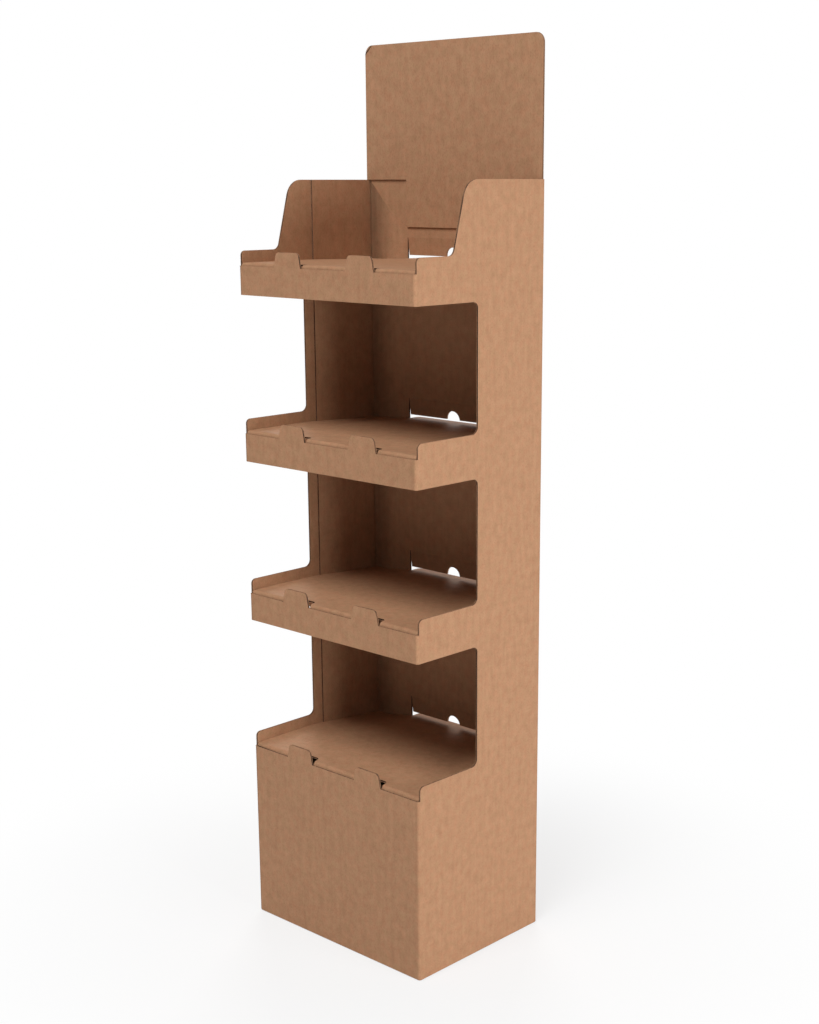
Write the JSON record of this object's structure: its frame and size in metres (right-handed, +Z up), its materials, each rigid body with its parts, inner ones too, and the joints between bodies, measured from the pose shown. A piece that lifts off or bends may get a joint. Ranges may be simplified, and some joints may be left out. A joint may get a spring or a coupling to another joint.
{
  "type": "cardboard display stand",
  "caption": "Floor-standing corrugated cardboard shop display with open shelves, tabbed front lips, side cut-outs and a header card.",
  "frame": {"origin": "on the floor, below the middle of the stand, at the bottom centre of its box, which counts the shelf tongues behind the back wall", "axes": "+Z up, -Y towards the open front, +X to the right seen from the front"},
  "size_m": [0.4, 0.316, 1.502],
  "materials": {
    "body_board": "uncoated kraft liner on single-wall corrugated board",
    "shelf_board": "uncoated kraft liner on single-wall corrugated board",
    "header_board": "uncoated kraft liner on single-wall corrugated board"
  },
  "bodies": {
    "root": {"body_sleeve": "body_board", "shelf_base": "shelf_board", "shelf_lower": "shelf_board", "shelf_upper": "shelf_board", "shelf_top": "shelf_board", "header_card": "header_board"}
  },
  "joints": []
}
